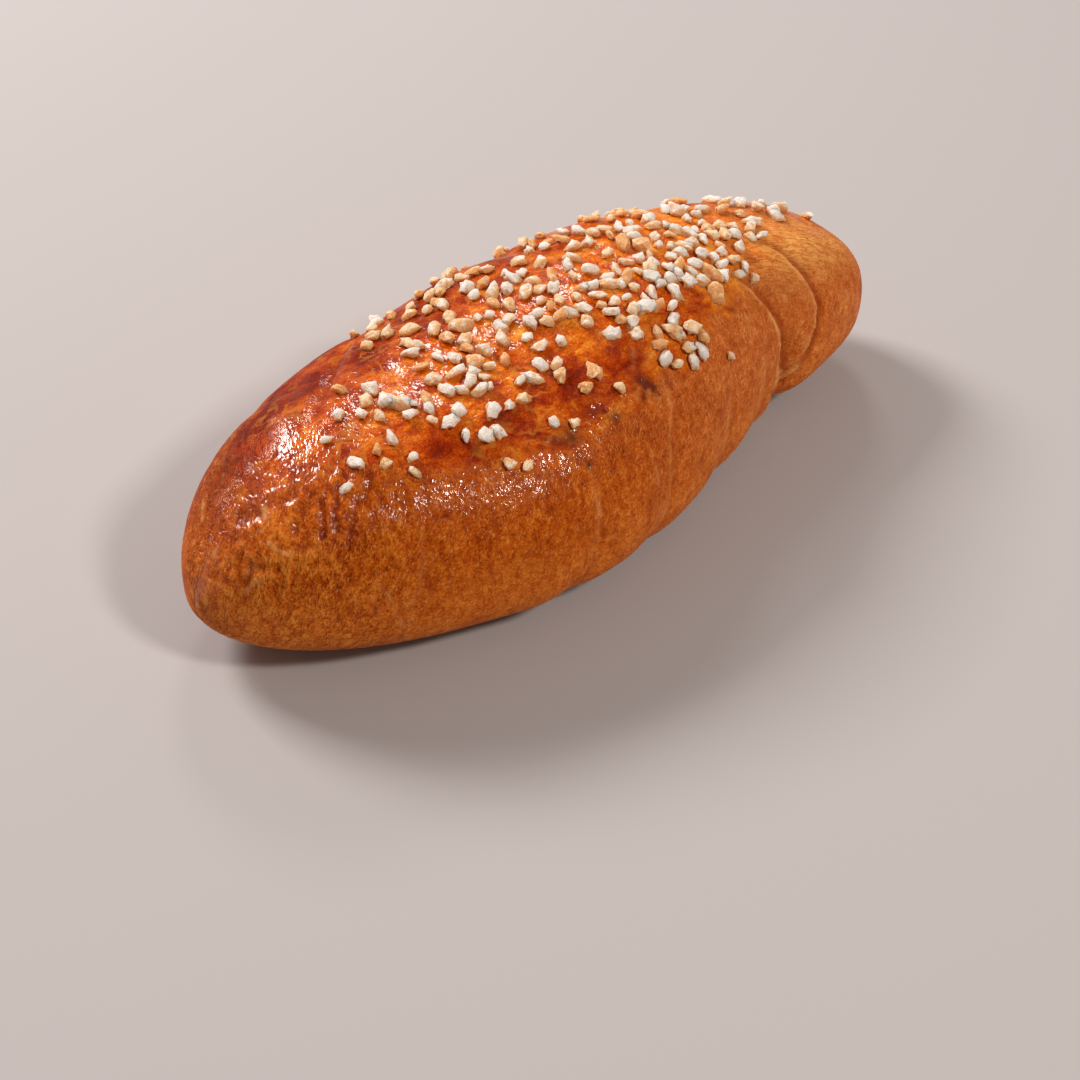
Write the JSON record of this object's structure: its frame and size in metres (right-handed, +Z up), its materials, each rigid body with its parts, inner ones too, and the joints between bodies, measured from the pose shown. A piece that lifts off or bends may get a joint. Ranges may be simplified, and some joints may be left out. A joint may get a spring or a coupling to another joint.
{
  "type": "braided loaf",
  "caption": "Spindle-shaped braided sweet loaf with a glossy egg-washed crust and pearl sugar baked along its top, lying on its flat bottom.",
  "frame": {"origin": "on the flat bottom, under the middle of the bounding box", "axes": "+X along the loaf towards its slimmer end, +Y across it towards the side without the neck fold, +Z up from the flat bottom"},
  "size_m": [0.232, 0.099, 0.0669],
  "materials": {
    "crust": "gloss",
    "white_sugar": "satin",
    "toasted_sugar": "satin"
  },
  "bodies": {
    "root": {"loaf": "crust", "sugar_nib_01": "white_sugar", "sugar_nib_02": "white_sugar", "sugar_nib_03": "white_sugar", "sugar_nib_04": "toasted_sugar", "sugar_nib_05": "white_sugar", "sugar_nib_06": "white_sugar", "sugar_nib_07": "toasted_sugar", "sugar_nib_08": "white_sugar", "sugar_nib_09": "white_sugar", "sugar_nib_10": "white_sugar", "sugar_nib_11": "toasted_sugar", "sugar_nib_12": "white_sugar", "sugar_nib_13": "white_sugar", "sugar_nib_14": "toasted_sugar", "sugar_nib_15": "white_sugar", "sugar_nib_16": "white_sugar", "sugar_nib_17": "toasted_sugar", "sugar_nib_18": "white_sugar", "sugar_nib_19": "toasted_sugar", "sugar_nib_20": "white_sugar", "sugar_nib_21": "white_sugar", "sugar_nib_22": "toasted_sugar", "sugar_nib_23": "white_sugar", "sugar_nib_24": "toasted_sugar", "sugar_nib_25": "white_sugar", "sugar_nib_26": "white_sugar", "sugar_nib_27": "white_sugar", "sugar_nib_28": "white_sugar", "sugar_nib_29": "toasted_sugar", "sugar_nib_30": "toasted_sugar", "sugar_nib_31": "white_sugar", "sugar_nib_32": "toasted_sugar", "sugar_nib_33": "toasted_sugar", "sugar_nib_34": "white_sugar", "sugar_nib_35": "white_sugar", "sugar_nib_36": "white_sugar", "sugar_nib_37": "white_sugar", "sugar_nib_38": "toasted_sugar", "sugar_nib_39": "toasted_sugar", "sugar_nib_40": "white_sugar", "sugar_nib_41": "toasted_sugar", "sugar_nib_42": "white_sugar", "sugar_nib_43": "white_sugar", "sugar_nib_44": "white_sugar", "sugar_nib_45": "toasted_sugar", "sugar_nib_46": "white_sugar", "sugar_nib_47": "toasted_sugar", "sugar_nib_48": "toasted_sugar", "sugar_nib_49": "white_sugar", "sugar_nib_50": "white_sugar", "sugar_nib_51": "white_sugar", "sugar_nib_52": "toasted_sugar", "sugar_nib_53": "white_sugar", "sugar_nib_54": "white_sugar", "sugar_nib_55": "white_sugar", "sugar_nib_56": "white_sugar", "sugar_nib_57": "toasted_sugar", "sugar_nib_58": "white_sugar", "sugar_nib_59": "white_sugar"}
  },
  "joints": []
}
